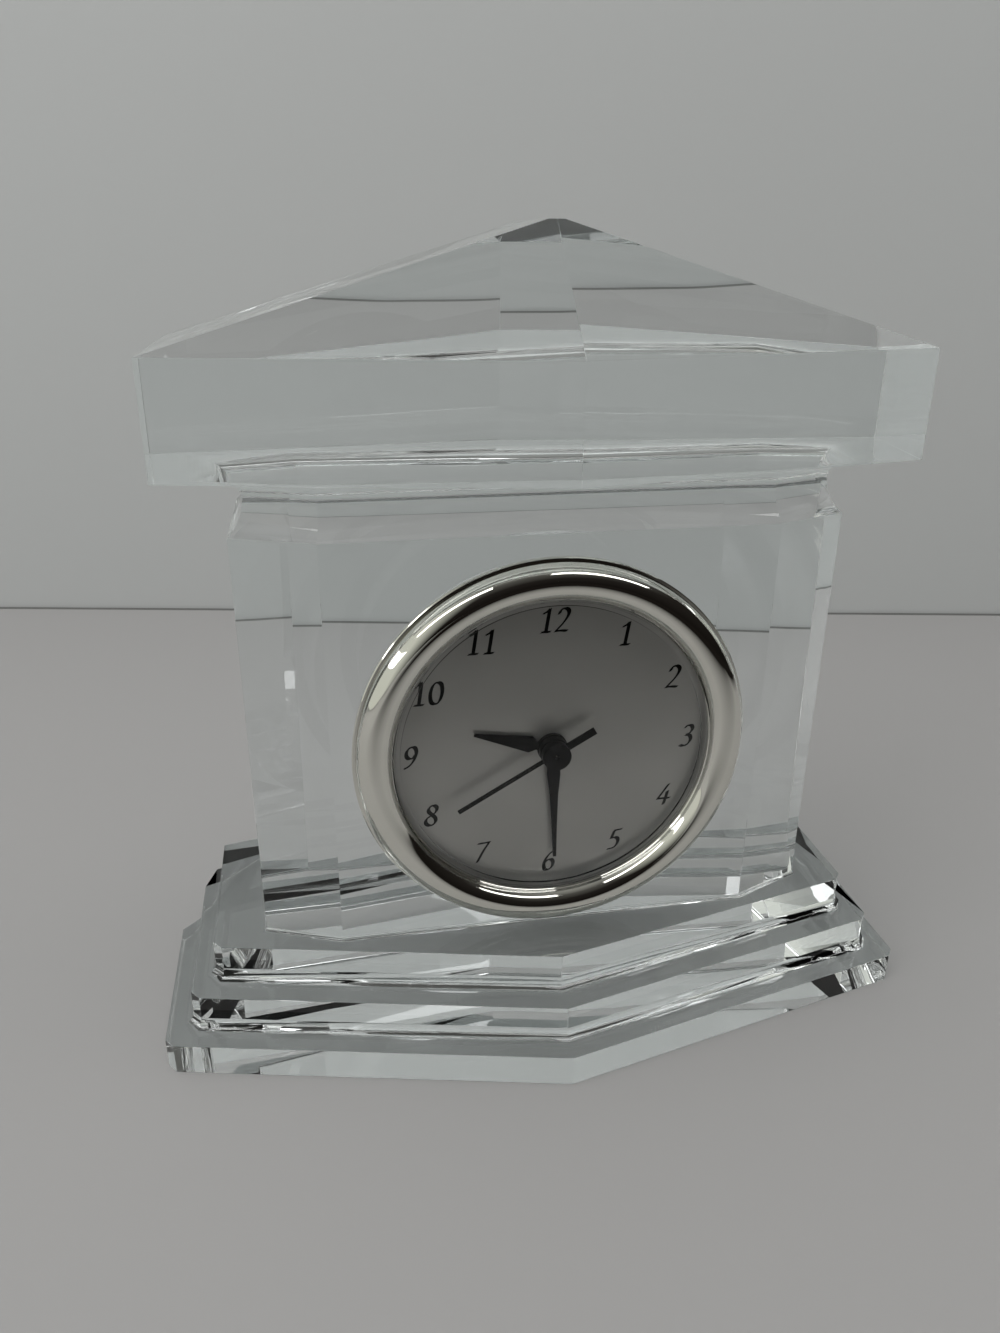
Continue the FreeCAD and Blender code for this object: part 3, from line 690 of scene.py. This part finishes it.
                shape.edges.get((below, above)).smooth = False
            previous = ring

    def _grind_pocket(self, block: Object) -> None:
        """Gives the drilled pocket's wall its ground finish; its floor is polished.

        Args:
            block: The finished block.
        """
        axis = DialAxis.from_frame()
        low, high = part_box("case_cup")
        block.data.materials.append(GROUND_GLASS.material())
        reach = (high.x - low.x) / 2 + self.pocket_air
        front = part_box("bezel")[1].y + self.arris
        for face in block.data.polygons:
            across = (face.center - axis.middle).xz.length
            upright = abs(face.normal.y) < self.wall_tilt
            if upright and across < reach and front < face.center.y < high.y + self.pocket_end:
                face.material_index = 1


@dataclass
class Bezel:
    """The turned and plated ring.

    Args:
        flange_height: Height of the thin outer rim above the glass.
        rim_width: Width of that rim.
        crest: Height of the roll above the glass.
        opening: Radius of the opening.
        lip: Height of the roll's inner foot above the glass.
        seat: Height of the shoulder that holds the lens down.
        seat_width: Width of that shoulder.
        ease: How far the small corners are broken.
        side_air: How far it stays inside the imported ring.
        roll_steps: Facets of the roll.
        segments: Facets around the ring.
    """

    flange_height: float = 0.85 * MM
    rim_width: float = 0.6 * MM
    crest: float = 4.4 * MM
    opening: float = 29.05 * MM
    lip: float = 2.15 * MM
    seat: float = 1.5 * MM
    seat_width: float = 1.8 * MM
    ease: float = 0.15 * MM
    side_air: float = 0.02 * MM
    roll_steps: int = 40
    segments: int = 256

    def build(self) -> None:
        """Spins the ring's section."""
        axis = DialAxis.from_frame()
        low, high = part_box("bezel")
        outer = (high.x - low.x) / 2 - self.side_air
        back = axis.middle.y - high.y
        roll = outer - self.rim_width
        foot = back + self.flange_height
        start, end = (roll, foot), (self.opening + self.ease, back + self.lip)
        rise = self.crest - (self.flange_height + self.lip) / 2
        profile: List[Point] = [(outer, back), (outer, foot - self.ease), (outer - self.ease, foot), start]
        profile += bow(start, end, -rise, self.roll_steps)[1:]
        shoulder = self.opening + self.seat_width
        profile += [end, (self.opening, back + self.lip - self.ease), (self.opening, back + self.seat),
                    (shoulder, back + self.seat), (shoulder, back)]
        ring = finished_piece("bezel_ring", axis.spin(profile, self.segments), PLATING, Body.INSERT,
                              smooth_below=25.0)
        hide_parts("bezel")


@dataclass
class LensDome:
    """The clear domed window.

    Args:
        wall: Thickness of the dome.
        rise: Height of the dome over its foot.
        flange: Width of the rim that the bezel holds.
        flange_height: Height of that rim.
        steps: Facets from the dome's middle to its foot.
        segments: Facets around the dome.
    """

    wall: float = 0.95 * MM
    rise: float = 3.3 * MM
    flange: float = 2.12 * MM
    flange_height: float = 0.8 * MM
    steps: int = 16
    segments: int = 128

    def build(self) -> None:
        """Spins the dome's section."""
        axis = DialAxis.from_frame()
        low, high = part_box("lens")
        rim = (high.x - low.x) / 2
        foot = axis.middle.y - high.y
        top = axis.middle.y - low.y
        skirt = rim - self.flange
        inner = skirt - self.wall
        shares = [n / self.steps for n in range(self.steps + 1)]
        ledge = foot + self.flange_height
        profile: List[Point] = [(inner * share, top - self.wall - self.rise * share ** 2) for share in shares]
        profile += [(inner, foot), (rim, foot), (rim, ledge), (skirt, ledge)]
        profile += [(skirt * share, top - self.rise * share ** 2) for share in reversed(shares)]
        dome = finished_piece("lens_dome", axis.spin(profile, self.segments, closed=False), ACRYLIC,
                              Body.INSERT, smooth_below=40.0)
        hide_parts("lens")


@dataclass
class Numerals:
    """The hours, written with a broad pen and printed on the dial.

    Args:
        height: Height of a digit.
        reach: Distance of the numbers' middles from the dial's, sideways at three and upwards at twelve.
        slant: Sideways lean per unit of height.
        nib: Width of the pen, as a share of the height.
        nib_angle: Angle of the pen's edge, in degrees above the horizontal.
        hairline: Thinnest stroke, as a share of the height.
        gap: Space between two digits, as a share of the height.
        lift: Thickness of the ink.
        sink: Share of that thickness that the strokes reach back towards the dial.
        hair_lift: Share of it that the thin strokes lie in front of the broad ones.
        curve_steps: New points for each one of a curved stroke.
        straight_steps: New points for each one of a nearly straight stroke, which has three.
        strokes: The points of each digit's strokes, in hundredths of the height.
    """

    height: float = 4.3 * MM
    reach: Point = (25.8 * MM, 24.4 * MM)
    slant: float = 0.15
    nib: float = 0.185
    nib_angle: float = 30.0
    hairline: float = 0.07
    gap: float = 0.2
    lift: float = 0.03 * MM
    sink: float = 0.8
    hair_lift: float = 0.25
    curve_steps: int = 6
    straight_steps: int = 3
    strokes: Dict[str, List[List[Point]]] = field(default_factory=lambda: {
        "0": [[(27, 98), (10, 86), (3, 50), (10, 14), (27, 2), (44, 14), (51, 50), (44, 86), (27, 98)]],
        "1": [[(2, 80), (16, 88), (26, 100)], [(26, 100), (26, 50), (26, 2)], [(8, 2), (26, 2), (44, 2)]],
        "2": [[(5, 76), (10, 92), (26, 100), (42, 90), (44, 70), (30, 40), (2, 3)], [(2, 3), (26, 5),
              (50, 2)]],
        "3": [[(6, 88), (18, 99), (34, 97), (42, 80), (34, 62), (18, 54)], [(18, 54), (36, 50), (44, 30),
              (36, 10), (18, 1), (0, 6)]],
        "4": [[(36, 100), (18, 64), (0, 30)], [(0, 30), (26, 31), (54, 30)], [(38, 66), (36, 34), (32, 0)]],
        "5": [[(18, 96), (32, 97), (50, 100)], [(18, 96), (14, 76), (10, 56)], [(10, 56), (28, 60), (42, 48),
              (42, 26), (30, 8), (2, 1)]],
        "6": [[(46, 100), (26, 86), (10, 60), (5, 30), (13, 6), (28, 1), (44, 14), (46, 38), (34, 54),
              (20, 52), (8, 38)]],
        "7": [[(4, 94), (26, 95), (52, 98)], [(52, 98), (32, 56), (12, 0)]],
        "8": [[(27, 52), (42, 66), (44, 86), (28, 99), (11, 88), (11, 70), (27, 54), (44, 36), (46, 14),
              (27, 1), (7, 13), (6, 34), (27, 52)]],
        "9": [[(44, 66), (34, 48), (18, 46), (6, 62), (8, 86), (24, 99), (39, 94), (47, 70), (40, 36),
              (24, 12), (4, 0)]],
    })

    def build(self) -> None:
        """Writes all twelve numbers as one printed piece."""
        axis = DialAxis.from_frame()
        shape = bmesh.new()
        for hour in range(1, 13):
            angle = math.radians(30 * hour)
            middle = Vector((math.sin(angle) * self.reach[0], math.cos(angle) * self.reach[1]))
            self._number(shape, str(hour), middle, axis)
        backs = bmesh.ops.extrude_face_region(shape, geom=list(shape.faces))["geom"]
        bmesh.ops.translate(shape, vec=(0.0, self.lift * self.sink, 0.0),
                            verts=[item for item in backs if isinstance(item, BMVert)])
        bmesh.ops.recalc_face_normals(shape, faces=shape.faces)
        piece = finished_piece("hour_numerals", shape, INK, Body.INSERT)

    def _number(self, shape: BMesh, text: str, middle: Vector, axis: DialAxis) -> None:
        """Writes one number.

        Args:
            shape: The mesh that takes it.
            text: Its digits.
            middle: The number's middle on the dial, to the right and up.
            axis: The dial.
        """
        widths = [max(x for stroke in self.strokes[digit] for x, _ in stroke) / 100 for digit in text]
        total = sum(widths) + self.gap * (len(text) - 1)
        left = -total / 2
        for digit, width in zip(text, widths):
            for stroke in self.strokes[digit]:
                path = [Vector((left + x + (y - 0.5) * self.slant, y - 0.5)) * self.height + middle
                        for x, y in self._smoothed(stroke)]
                self._pen(shape, path, self.nib, self.nib_angle, axis, 0.0)
                self._pen(shape, path, self.hairline, self.nib_angle + 90, axis, self.lift * self.hair_lift)
            left += width + self.gap

    def _smoothed(self, stroke: Sequence[Point]) -> List[Point]:
        """Rounds a stroke through its points, as a Catmull-Rom curve.

        Args:
            stroke: The points that the pen passes, in hundredths.

        Returns:
            Points of the curve, as shares of the height.
        """
        steps = self.straight_steps if len(stroke) == 3 else self.curve_steps
        points = [Vector((x / 100, y / 100)) for x, y in stroke]
        closed = (points[0] - points[-1]).length < TOUCHING
        before = points[-2] if closed else points[0] * 2 - points[1]
        after = points[1] if closed else points[-1] * 2 - points[-2]
        points = [before] + points + [after]
        path: List[Point] = []
        for a, b, c, d in zip(points, points[1:], points[2:], points[3:]):
            for n in range(steps):
                t = n / steps
                p = 0.5 * (2 * b + (c - a) * t + (2 * a - 5 * b + 4 * c - d) * t ** 2
                           + (3 * b - a - 3 * c + d) * t ** 3)
                path.append((p.x, p.y))
        return path + [tuple(points[-2])]

    def _pen(self, shape: BMesh, path: Sequence[Vector], width: float, angle: float,
             axis: DialAxis, extra: float) -> None:
        """Draws the pen's edge along a path.

        Args:
            shape: The mesh that takes the stroke.
            path: Places on the dial, to the right and up.
            width: Length of the pen's edge, as a share of the height.
            angle: Direction of that edge, in degrees.
            axis: The dial.
            extra: Height over the first layer of ink.
        """
        turn = math.radians(angle)
        half = Vector((math.cos(turn), math.sin(turn))) * width * self.height / 2

        def on_dial(place: Vector) -> Vector:
            """The place in the model's frame."""
            return axis.middle + Vector((place.x, -self.lift - extra, place.y))

        ends = [shape.verts.new(on_dial(path[0] - half)), shape.verts.new(on_dial(path[0] + half))]
        edge = shape.edges.new(ends)
        for here, there in zip(path, path[1:]):
            grown = bmesh.ops.extrude_edge_only(shape, edges=[edge])["geom"]
            step = there - here
            verts = [item for item in grown if isinstance(item, BMVert)]
            bmesh.ops.translate(shape, vec=(step.x, 0.0, step.y), verts=verts)
            edge = next(item for item in grown if isinstance(item, BMEdge)
                        and set(item.verts) == set(verts))


@dataclass
class PhotoCamera:
    """The camera that was fitted to the photograph.

    Args:
        place: Where it stands.
        heading: Turn from straight ahead towards the right, in degrees.
        pitch: Tilt downwards, in degrees.
        roll: Turn about its own line of sight, in degrees.
        focal_pixels: Focal length in pixels of the photograph.
        long_side: Long side of the photograph, in pixels.
        sensor: Long side of the sensor, in millimetres.
    """

    place: Triple = (-39.84 * MM, -177.0 * MM, 141.7 * MM)
    heading: float = 10.81
    pitch: float = 22.81
    roll: float = 0.39
    focal_pixels: float = 1001.0
    long_side: float = 1333.0
    sensor: float = 36.0

    def build(self) -> None:
        """Makes the camera and sets it as the scene's."""
        data = bpy.data.cameras.new("photo_camera")
        data.sensor_width = self.sensor
        data.lens = self.sensor * self.focal_pixels / self.long_side
        data.clip_start = 1 * MM
        camera = add_object("photo_camera", data)
        camera.location = self.place
        aim = Euler((math.radians(90 - self.pitch), 0.0, math.radians(-self.heading))).to_matrix()
        camera.rotation_euler = (aim @ Matrix.Rotation(math.radians(self.roll), 3, "Z")).to_euler()
        bpy.context.scene.camera = camera


@dataclass(frozen=True)
class Lamp:
    """One soft square lamp, which mirrors and glass don't show.

    Args:
        name: The lamp's name.
        place: Where it hangs, in metres.
        size: Its side, in metres.
        power: Its power, in watts.
        aim: What it points at, in metres.
    """

    name: str
    place: Triple
    size: float
    power: float
    aim: Triple = (0.0, 0.0, 0.05)

    def build(self) -> None:
        """Hangs the lamp."""
        data = bpy.data.lights.new(self.name, "AREA")
        data.size = self.size
        data.energy = self.power
        lamp = add_object(self.name, data)
        lamp.visible_glossy = False
        lamp.visible_transmission = False
        lamp.location = self.place
        lamp.rotation_euler = (Vector(self.aim) - Vector(self.place)).to_track_quat("-Z", "Y").to_euler()


@dataclass
class Studio:
    """Table, wall and soft light.

    Args:
        table_colour: sRGB hex of the table.
        wall_colour: sRGB hex of the wall behind.
        wall_distance: From the camera's foot to the wall.
        wall_half: Half the wall's side.
        table_half: Half the table's side.
        table_gap: Air between the table and the glass, which keeps the glass's underside a mirror.
        table_front: Where reflections of the table turn, in front, from its paint to a painted dark glow of
            the dim room.
        table_right: Where they turn to it on the right.
        table_left: Where the table stays pale in front too, without that painted dark.
        fade: How far the table takes to fall into that painted dark there.
        seam_colour: sRGB hex of the painted shade in the seam between the table and the wall.
        seam_height: Half its height.
        seam_front: How far it stands before the wall.
        room_stops: The colours of the room in reflections, by the share of straight up. The table's painted
            dark glow takes the first.
        left_colour: sRGB hex of its bright left side.
        left_edges: Where that side starts and where it is full, by the share of straight right.
        sky_stops: The colours that everything else sees around the set, by the share of straight up.
        world_strength: Brightness of the world's colours.
        tube_glow: Brightness of the ceiling lamps in reflections, where one is white.
        tube_height: Share of straight up that a direction towards them has at least.
        tubes: Their edges from left to right and front to back, per unit of height above the clock.
        lamps: The soft lamps.
    """

    table_colour: str = "#939291"
    wall_colour: str = "#B6B8B7"
    wall_distance: float = 397 * MM
    wall_half: float = 700 * MM
    table_half: float = 1500 * MM
    table_gap: float = 0.15 * MM
    table_front: float = -100 * MM
    table_right: float = 330 * MM
    table_left: float = -250 * MM
    fade: float = 200 * MM
    seam_colour: str = "#767775"
    seam_height: float = 0.7 * MM
    seam_front: float = 1 * MM
    room_stops: Tuple[Stop, ...] = ((0.0, "#1C1917"), (0.45, "#2A2725"), (0.8, "#5E5D5A"), (1.0, "#A8A8A5"))
    left_colour: str = "#F1F3EA"
    left_edges: Point = (-0.25, -0.75)
    sky_stops: Tuple[Stop, ...] = ((0.0, "#A09F9C"), (1.0, "#C4C4C2"))
    world_strength: float = 0.75
    tube_glow: float = 5.0
    tube_height: float = 0.05
    tubes: Tuple[Tuple[float, float, float, float], ...] = (
        (-1.5, -0.3, -0.75, -0.5), (0.2, 1.3, -0.75, -0.5), (-1.2, 1.2, 0.5, 0.66), (-3.4, -2.2, -1.5, 1.0))
    lamps: Tuple[Lamp, ...] = (Lamp("overhead_lamp", (-0.25, -0.10, 0.95), 0.8, 6.5),
                               Lamp("left_lamp", (-0.9, -0.45, 0.65), 0.7, 4.0),
                               Lamp("right_lamp", (0.8, -0.10, 0.55), 0.6, 2.5))

    def build(self, camera: PhotoCamera) -> None:
        """Makes the table, the wall, the lamps and the world.

        Args:
            camera: The camera that the wall is square to.
        """
        self._table()
        self._wall(camera)
        for lamp in self.lamps:
            lamp.build()
        self._world()

    def _plain(self, name: str, colour: str) -> Material:
        """A matt painted surface with a faint unevenness."""
        return Finish(name, colour, roughness=0.85, mottle=colour, patch=60.0,
                      grain=Grain(1.2, 0.01)).material()

    def _sheet(self, name: str, size: float, place: Matrix, material: Material) -> None:
        """Adds a flat square of the set.

        Args:
            name: The object's name.
            size: Half its side.
            place: Where it goes.
            material: Its material.
        """
        shape = bmesh.new()
        bmesh.ops.create_grid(shape, x_segments=2, y_segments=2, size=size, matrix=place)
        obj = add_mesh(name, shape)
        obj.data.materials.append(material)

    def _replace_paint(self, material: Material, share: NodeSocket, other: NodeSocket) -> None:
        """Shows another shader in place of the paint.

        Args:
            material: The painted material.
            share: One where the other shader shows.
            other: The other shader.
        """
        wiring = Wiring(material.node_tree)
        nodes = {node.type: node for node in wiring.tree.nodes}
        mixed = wiring.mix_shaders(share, nodes["BSDF_PRINCIPLED"].outputs["BSDF"], other)
        wiring.link(mixed, nodes["OUTPUT_MATERIAL"], "Surface")

    def _table(self) -> None:
        """Lays the pale table. Where reflections look past its pale part, it shows a painted dark glow of the
        dim room instead of its paint.
        """
        material = self._plain("painted_table", self.table_colour)
        wiring = Wiring(material.node_tree)
        place = wiring.add("ShaderNodeTexCoord").outputs["Object"]
        parts = wiring.add("ShaderNodeSeparateXYZ", {"Vector": place})
        along, across = parts.outputs["Y"], parts.outputs["X"]
        near = wiring.calculate("MULTIPLY",
                                wiring.fade(along, self.table_front, self.table_front - self.fade),
                                wiring.fade(across, self.table_left, self.table_left + self.fade))
        right = wiring.fade(across, self.table_right, self.table_right + self.fade)
        beyond = wiring.calculate("MAXIMUM", near, right)
        # Painted reflection: past these edges, reflected rays see the table glow in the dim room's dark
        # colour
        painted_room_share = wiring.calculate("MULTIPLY", beyond, wiring.mirrored_ray())
        room = wiring.add("ShaderNodeEmission", {"Color": linear(self.room_stops[0][1]), "Strength": 1.0})
        self._replace_paint(material, painted_room_share, room.outputs["Emission"])
        self._sheet("table", self.table_half, Matrix.Translation((0.0, 0.0, -self.table_gap)), material)

    def _wall(self, camera: PhotoCamera) -> None:
        """Stands the wall behind the table, clear from behind so that it hides nothing in other views, with a
        strip of painted shade in the seam at its foot.

        Args:
            camera: The camera that it is square to.
        """
        material = self._plain("painted_wall", self.wall_colour)
        wiring = Wiring(material.node_tree)
        side = wiring.add("ShaderNodeNewGeometry").outputs["Backfacing"]
        self._replace_paint(material, side, wiring.add("ShaderNodeBsdfTransparent").outputs["BSDF"])
        turn = Matrix.Rotation(math.radians(-camera.heading), 4, "Z")
        upright = Matrix.Rotation(math.radians(90), 4, "X")
        foot = Vector((camera.place[0], camera.place[1], 0.0))

        def standing(distance: float, height: float) -> Matrix:
            """Upright, square to the camera's heading."""
            return Matrix.Translation(foot + turn @ Vector((0.0, distance, height))) @ turn @ upright

        self._sheet("wall", self.wall_half, standing(self.wall_distance, self.wall_half), material)
        # A thin dark strip just before the wall's foot: painted shade in the seam between the table and the
        # wall
        flat = Matrix.Scale(self.seam_height / self.wall_half, 4, (0.0, 1.0, 0.0))
        self._sheet("painted_seam_shade_strip", self.wall_half, standing(self.wall_distance - self.seam_front, 0.0) @ flat,
                    self._plain("painted_seam_shade", self.seam_colour))

    def _world(self) -> None:
        """Makes the room: pale where it is seen directly, dim with bright lamps where it is reflected."""
        world = bpy.data.worlds.new("room")
        bpy.context.scene.world = world
        world.use_nodes = True
        wiring = Wiring(world.node_tree)
        wiring.tree.nodes.clear()
        place = wiring.add("ShaderNodeTexCoord").outputs["Generated"]
        parts = wiring.add("ShaderNodeSeparateXYZ", {"Vector": place})
        pale = wiring.ramp(parts.outputs["Z"], self.sky_stops)
        dim = wiring.ramp(parts.outputs["Z"], self.room_stops)
        left = wiring.fade(parts.outputs["X"], *self.left_edges)
        sided = wiring.mix_colours(left, dim, linear(self.left_colour))
        lit = wiring.mix_colours(self._tubes(wiring, parts), sided, (*[self.tube_glow] * 3, 1.0))
        seen = wiring.mix_colours(wiring.mirrored_ray(), pale, lit)
        light = wiring.add("ShaderNodeBackground", {"Color": seen, "Strength": self.world_strength})
        wiring.add("ShaderNodeOutputWorld", {"Surface": light.outputs["Background"]})

    def _tubes(self, wiring: Wiring, parts: Node) -> NodeSocket:
        """Finds the ceiling lamps, which only reflections show.

        Args:
            wiring: The world's nodes.
            parts: The direction's three parts.

        Returns:
            One where the direction points at a lamp.
        """
        up = parts.outputs["Z"]
        across = wiring.calculate("DIVIDE", parts.outputs["X"], up)
        along = wiring.calculate("DIVIDE", parts.outputs["Y"], up)
        boxes = []
        for left, right, near, far in self.tubes:
            box = wiring.calculate("GREATER_THAN", up, self.tube_height)
            for value, low, high in ((across, left, right), (along, near, far)):
                box = wiring.calculate("MULTIPLY", box, wiring.calculate("GREATER_THAN", value, low))
                box = wiring.calculate("MULTIPLY", box, wiring.calculate("LESS_THAN", value, high))
            boxes.append(box)
        return reduce(lambda first, second: wiring.calculate("MAXIMUM", first, second), boxes)


def main() -> None:
    """Builds and dresses the clock, then the set and the camera."""
    logging.basicConfig(level=logging.INFO, format="%(name)s: %(message)s")
    for name, finish in NODE_FINISHES.items():
        dress(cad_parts[name], finish)
    for piece in (CrystalBlock(), Bezel(), LensDome(), Numerals()):
        piece.build()
    camera = PhotoCamera()
    camera.build()
    Studio().build(camera)
    bpy.context.scene.view_settings.view_transform = "Standard"
    cycles = bpy.context.scene.cycles
    cycles.max_bounces = cycles.transmission_bounces = cycles.glossy_bounces = GLASS_BOUNCES


if __name__ == "__main__":
    main()
